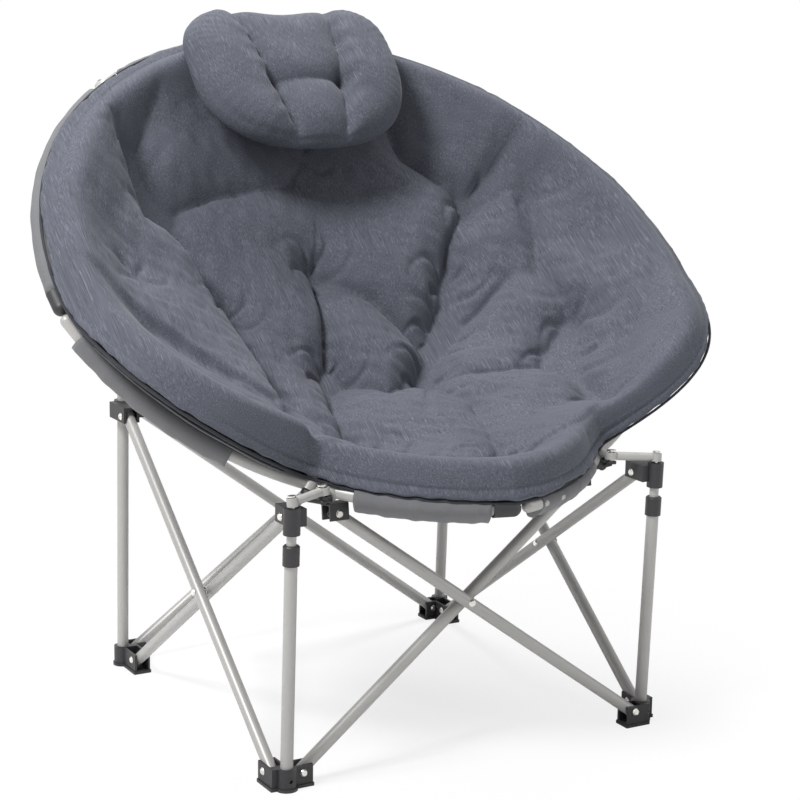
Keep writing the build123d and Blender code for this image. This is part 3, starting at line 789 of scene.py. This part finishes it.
def head_pillow():
    """Pillow with puffed arms either side of a middle panel with a cross seam."""
    around, rings = 200, 42
    share = np.linspace(0, 1, around, endpoint=False)
    ox, oy = pillow_outline(share)
    rows = []
    for side in (-1, 1):
        order = np.linspace(0.03, 1, rings)
        if side == 1:
            order = order[::-1][1:]
        for r in order:
            x, y = ox * r, oy * r
            edge = np.sqrt(np.clip(1 - r**5, 0, 1))
            if side == -1:
                height = np.full_like(x, -0.010 * edge - 0.004 * (1 - r))
            else:
                over = y - PANEL_SEAM
                half = 0.056 + np.where(over > 0, 0.15, 0.20) * over
                beside = np.abs(x) - half
                within = 1 / (1 + np.exp(beside / 0.004))
                seam = groove(beside, 0.006, 0.022)
                cross = groove(over, 0.005, 0.020)
                height = (0.050 * (1 - within) + 0.041 * within) * edge
                height -= 0.023 * seam * edge + 0.012 * cross * within * edge
                nip = np.exp(-((beside / 0.010) ** 2 + (over / 0.012) ** 2))
                height -= 0.013 * nip
                height += 0.0026 * waves(x, y, 0.07, 7) * edge
                # Small folds beside the panel's seams, and a puckered rim
                fold = np.sin(y * 210 + 3 * np.sin(x * 60)) * spike(np.abs(beside), 0.016)
                height += 0.0022 * fold * (1 - within) * edge
                rim_pucker = np.sin(share * 2 * np.pi * 46 + 2 * np.sin(share * 40))
                height += 0.0016 * rim_pucker * r**8 * edge
                height -= 0.004 * bell(r - 0.955, 0.012)
            rows.append(np.stack([x, y, height], -1))
    points, faces = ring_grid(rows, caps=(True, True))
    # Lay it on the slope of the cushion's top edge
    along = UP * math.cos(PILLOW_LEAN) + OUT * math.sin(PILLOW_LEAN)
    out = OUT * math.cos(PILLOW_LEAN) - UP * math.sin(PILLOW_LEAN)
    origin = CENTRE + UP * PILLOW_SEAT + OUT * PILLOW_LIFT
    placed = origin + points[:, :1] * X_AXIS
    droop = 0.10 * np.clip(points[:, 1] - 0.02, 0, 1)
    placed = placed + points[:, 1:2] * along + (points[:, 2] - droop)[:, None] * out
    return placed, faces


class SAUCER_OT_pillow(bpy.types.Operator):
    """Build the head pillow"""

    bl_idname = "saucer.pillow"
    bl_label = "Head pillow"

    def execute(self, context):
        colours = context.scene.saucer_colours
        points, faces = head_pillow()
        pillow = new_mesh("pillow", points, faces)
        fix_normals(pillow)
        smooth = pillow.modifiers.new("round", "SUBSURF")
        smooth.levels = smooth.render_levels = 1
        pillow.data.materials.append(slub_cloth(colours.cloth))
        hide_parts("head_pillow")
        gather(pillow)
        return {"FINISHED"}


# Frame finishes, stage and camera ---------------------------------------------------------


class SAUCER_OT_frame_finishes(bpy.types.Operator):
    """Give the tubes, fittings and rivets their finishes"""

    bl_idname = "saucer.frame_finishes"
    bl_label = "Frame finishes"

    def execute(self, context):
        colours = context.scene.saucer_colours
        looks = {
            "frame_coat": powder_coat(colours.tube),
            "black_plastic": moulded_plastic(colours.plastic),
            "rivet_steel": bright_steel(colours.rivet),
        }
        for entry in frame["record"]["subparts"]:
            look = looks.get(entry["material_slot"])
            node = frame["nodes"].get(entry["node"])
            if look is None or node is None:
                continue
            node.data.materials.clear()
            node.data.materials.append(look)
        return {"FINISHED"}


def area_light(name, place, size, power):
    """Round soft light aimed at the seat."""
    light = bpy.data.lights.new(name, "AREA")
    light.shape = "DISK"
    light.size = size
    light.energy = power
    lamp = bpy.data.objects.new(name, light)
    bpy.context.scene.collection.objects.link(lamp)
    lamp.location = place
    way = Vector(LIGHT_AIM) - Vector(place)
    lamp.rotation_euler = way.to_track_quat("-Z", "Y").to_euler()


def floor_piece():
    """Pale floor that fades to white away from the chair, as the camera sees it."""
    look = Finish("floor paint")
    look.set(Base_Color=(0.9, 0.9, 0.9, 1), Roughness=0.9)
    where = look.node("ShaderNodeNewGeometry", output="Position")
    settings = {"operation": "LENGTH"}
    away = look.node("ShaderNodeVectorMath", settings, output="Value", Vector=where)
    camera = look.node("ShaderNodeLightPath", output="Is Camera Ray")
    share = camera * (away * FADE_PER_METRE + FADE_AT_MIDDLE).clamp()
    paint = Value(look, look.shader.outputs[0])
    glow = look.node("ShaderNodeEmission", Color=WHITE)
    shown = look.node("ShaderNodeMixShader", slots={0: share, 1: paint, 2: glow})
    look.fill(look.tree.nodes["Material Output"], {"Surface": shown})
    sides = 64
    ring = [
        (FLOOR_RADIUS * math.cos(a), FLOOR_RADIUS * math.sin(a), -FLOOR_DROP)
        for a in np.linspace(0, 6.2832, sides + 1)[:-1]
    ]
    floor = new_mesh("floor", ring, [tuple(range(sides))], smooth=False)
    floor.data.materials.append(look.material)
    return floor


def studio_world():
    """Soft light all round, and plain white where the camera or a reflection looks."""
    world = bpy.data.worlds.new("studio")
    world.use_nodes = True
    shading = Shading(world.node_tree)
    camera, glossy, through = (
        shading.node("ShaderNodeLightPath", output=f"Is {ray} Ray")
        for ray in ("Camera", "Glossy", "Transmission")
    )
    seen = camera.larger(glossy).larger(through)
    own = world.node_tree.nodes["Background"]
    shading.fill(own, {"Color": WHITE, "Strength": SOFT_LIGHT})
    soft = Value(shading, own.outputs[0])
    white = shading.node("ShaderNodeBackground", Color=WHITE, Strength=1.0)
    shown = shading.node("ShaderNodeMixShader", slots={0: seen, 1: soft, 2: white})
    shading.fill(world.node_tree.nodes["World Output"], {"Surface": shown})
    return world


def photo_camera():
    """Camera with the photograph's view of the chair."""
    data = bpy.data.cameras.new("camera")
    camera = bpy.data.objects.new("camera", data)
    bpy.context.scene.collection.objects.link(camera)
    forward = Vector(
        (math.sin(YAW) * math.cos(PITCH), math.cos(YAW) * math.cos(PITCH), -math.sin(PITCH))
    )
    right = Vector((math.cos(YAW), -math.sin(YAW), 0))
    over = right.cross(forward)
    side = right * math.cos(ROLL) + over * math.sin(ROLL)
    top = over * math.cos(ROLL) - right * math.sin(ROLL)
    eye = Vector(CAMERA_AIM) - forward * CAMERA_DISTANCE
    turn = Matrix((side, top, -forward)).transposed().to_4x4()
    camera.matrix_world = Matrix.Translation(eye) @ turn
    middle = IMAGE_SIDE / 2
    data.sensor_width = SENSOR
    data.lens = FOCAL_PIXELS / IMAGE_SIDE * SENSOR
    data.shift_x = (middle - PRINCIPAL_PIXELS[0]) / IMAGE_SIDE
    data.shift_y = -(middle - PRINCIPAL_PIXELS[1]) / IMAGE_SIDE
    return camera


class SAUCER_OT_stage(bpy.types.Operator):
    """Set the floor, lights and camera"""

    bl_idname = "saucer.stage"
    bl_label = "Stage"

    def execute(self, context):
        scene = context.scene
        scene.view_settings.view_transform = "Standard"
        floor = floor_piece()
        scene.world = studio_world()

        area_light("key", (-2.3, -0.6, 3.2), size=1.1, power=140)
        area_light("fill", (2.8, -2.0, 1.6), size=2.6, power=24)
        area_light("top", (0.6, 1.2, 3.4), size=1.4, power=84)

        scene.camera = photo_camera()
        return {"FINISHED"}


class SAUCER_PT_panel(bpy.types.Panel):
    """Sizes, colours and pieces of the chair"""

    bl_label = "Saucer Chair"
    bl_idname = "SAUCER_PT_panel"
    bl_space_type = "VIEW_3D"
    bl_region_type = "UI"
    bl_category = "Saucer Chair"

    def draw(self, context):
        layout = self.layout
        for group in (context.scene.saucer_sizes, context.scene.saucer_colours):
            for name in group.__annotations__:
                layout.prop(group, name)
        for operator in OPERATORS:
            layout.operator(operator.bl_idname)


OPERATORS = (
    SAUCER_OT_frame_finishes,
    SAUCER_OT_seat_pad,
    SAUCER_OT_piping,
    SAUCER_OT_shell,
    SAUCER_OT_sleeves,
    SAUCER_OT_pillow,
    SAUCER_OT_stage,
)
CLASSES = (SaucerSizes, SaucerColours) + OPERATORS + (SAUCER_PT_panel,)


def register():
    for cls in CLASSES:
        bpy.utils.register_class(cls)
    bpy.types.Scene.saucer_sizes = bpy.props.PointerProperty(type=SaucerSizes)
    bpy.types.Scene.saucer_colours = bpy.props.PointerProperty(type=SaucerColours)


def unregister():
    del bpy.types.Scene.saucer_colours
    del bpy.types.Scene.saucer_sizes
    for cls in reversed(CLASSES):
        bpy.utils.unregister_class(cls)


def main():
    register()
    bpy.ops.saucer.frame_finishes()
    bpy.ops.saucer.seat_pad()
    bpy.ops.saucer.piping()
    bpy.ops.saucer.shell()
    bpy.ops.saucer.sleeves()
    bpy.ops.saucer.pillow()
    bpy.ops.saucer.stage()


if __name__ == "__main__":
    main()
